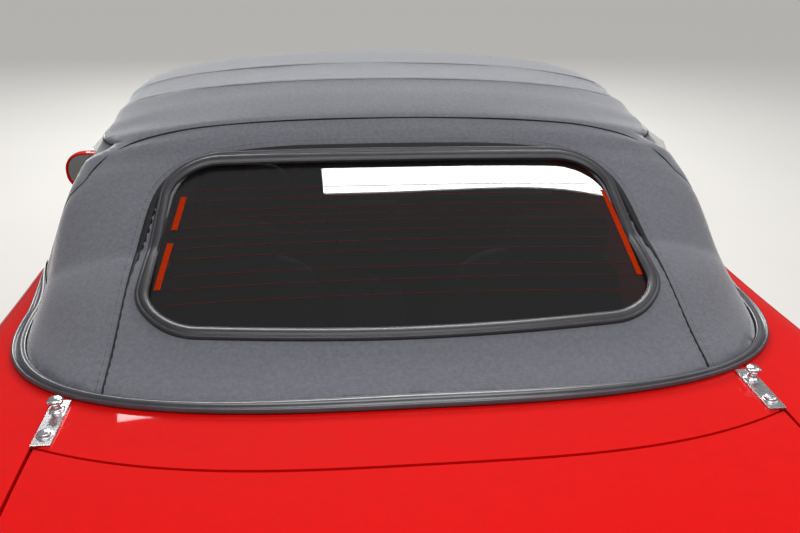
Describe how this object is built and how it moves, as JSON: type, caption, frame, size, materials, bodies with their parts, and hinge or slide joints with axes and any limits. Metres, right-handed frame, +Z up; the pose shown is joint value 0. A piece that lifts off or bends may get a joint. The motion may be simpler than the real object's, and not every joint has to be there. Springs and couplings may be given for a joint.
{
  "type": "two-seat convertible car",
  "caption": "Two-seat convertible car with its fabric top up, opening doors, bonnet and boot lid, steered front wheels and free-turning wheels.",
  "frame": {"origin": "on the ground under the centre of the car's bounding box", "axes": "+Z up, the car faces -Y, +X is its left (driver's) side"},
  "size_m": [1.757, 3.9454, 1.2425],
  "materials": {
    "paint": "gloss",
    "fabric_top": "matte",
    "black_trim": "satin",
    "clear_glass": "clear",
    "lamp": "gloss",
    "polished_steel": "polished",
    "shell": "satin",
    "iron": "rough",
    "steel": "satin",
    "cabin_plastic": "matte",
    "seat_leather": "satin",
    "tyre": "matte",
    "alloy": "satin"
  },
  "bodies": {
    "root": {"fenders": "paint", "sills": "paint", "quarters": "paint", "cowl": "paint", "deck_panel": "paint", "front_bumper": "paint", "rear_bumper": "paint", "soft_top": "fabric_top", "rear_window_frame": "black_trim", "belt_moulding": "black_trim", "windscreen_frame": "black_trim", "rear_window": "clear_glass", "windscreen": "clear_glass", "headlamps": "lamp", "tail_lamps": "lamp", "deck_brackets": "polished_steel", "tub": "shell", "boot_tub": "shell", "front_structure": "shell", "engine": "iron", "front_suspension": "iron", "rear_suspension": "iron", "exhaust": "steel", "dashboard": "cabin_plastic", "seats": "seat_leather"},
    "door_left": {"door_left": "paint", "door_glass_left": "clear_glass", "mirror_left": "paint"},
    "door_right": {"door_right": "paint", "door_glass_right": "clear_glass", "mirror_right": "paint"},
    "bonnet": {"bonnet": "paint"},
    "boot_lid": {"boot_lid": "paint"},
    "knuckle_left": {"knuckle_left": "iron"},
    "knuckle_right": {"knuckle_right": "iron"},
    "tie_rod_left": {"tie_rod_left": "iron"},
    "tie_rod_right": {"tie_rod_right": "iron"},
    "wheel_front_left": {"tyre_front_left": "tyre", "rim_front_left": "alloy"},
    "wheel_front_right": {"tyre_front_right": "tyre", "rim_front_right": "alloy"},
    "wheel_rear_left": {"tyre_rear_left": "tyre", "rim_rear_left": "alloy"},
    "wheel_rear_right": {"tyre_rear_right": "tyre", "rim_rear_right": "alloy"},
    "steering_wheel": {"steering_wheel": "cabin_plastic"}
  },
  "joints": [
    {"name": "steer_left", "type": "hinge", "parent": "root", "child": "knuckle_left", "pos_m": [0.645, -1.1925, 0.288], "axis": [0, 0, 1], "range_deg": [-33, 33]},
    {"name": "steer_right", "type": "hinge", "parent": "root", "child": "knuckle_right", "pos_m": [-0.645, -1.1925, 0.288], "axis": [0, 0, 1], "range_deg": [-33, 33]},
    {"name": "tie_left", "type": "hinge", "parent": "knuckle_left", "child": "tie_rod_left", "pos_m": [0.645, -1.0875, 0.241], "axis": [0, 0, 1], "range_deg": [-33, 33]},
    {"name": "tie_right", "type": "hinge", "parent": "knuckle_right", "child": "tie_rod_right", "pos_m": [-0.645, -1.0875, 0.241], "axis": [0, 0, 1], "range_deg": [-33, 33]},
    {"name": "steering_wheel_turn", "type": "hinge", "parent": "root", "child": "steering_wheel", "pos_m": [0.3, -0.19, 0.83], "axis": [0, 0.9207, 0.3903], "range_deg": [-500, 500]},
    {"name": "wheel_front_left_spin", "type": "hinge", "parent": "knuckle_left", "child": "wheel_front_left", "pos_m": [0.7075, -1.1925, 0.288], "axis": [1, 0, 0], "continuous": true},
    {"name": "wheel_front_right_spin", "type": "hinge", "parent": "knuckle_right", "child": "wheel_front_right", "pos_m": [-0.7075, -1.1925, 0.288], "axis": [1, 0, 0], "continuous": true},
    {"name": "wheel_rear_left_spin", "type": "hinge", "parent": "root", "child": "wheel_rear_left", "pos_m": [0.72, 1.0725, 0.288], "axis": [1, 0, 0], "continuous": true},
    {"name": "wheel_rear_right_spin", "type": "hinge", "parent": "root", "child": "wheel_rear_right", "pos_m": [-0.72, 1.0725, 0.288], "axis": [1, 0, 0], "continuous": true},
    {"name": "door_left_hinge", "type": "hinge", "parent": "root", "child": "door_left", "pos_m": [0.78, -0.565, 0.5], "axis": [0, 0, -1], "range_deg": [0, 65]},
    {"name": "door_right_hinge", "type": "hinge", "parent": "root", "child": "door_right", "pos_m": [-0.78, -0.565, 0.5], "axis": [0, 0, 1], "range_deg": [0, 65]},
    {"name": "bonnet_hinge", "type": "hinge", "parent": "root", "child": "bonnet", "pos_m": [0, -0.65, 0.853], "axis": [-1, 0, 0], "range_deg": [0, 50]},
    {"name": "boot_hinge", "type": "hinge", "parent": "root", "child": "boot_lid", "pos_m": [0, 1.043, 0.894], "axis": [1, 0, 0], "range_deg": [0, 70]}
  ],
  "couplings": [
    {"joint": "steer_right", "follows": "steer_left", "ratio": 1},
    {"joint": "tie_left", "follows": "steer_left", "ratio": -1},
    {"joint": "tie_right", "follows": "steer_left", "ratio": -1},
    {"joint": "steering_wheel_turn", "follows": "steer_left", "ratio": 15}
  ]
}
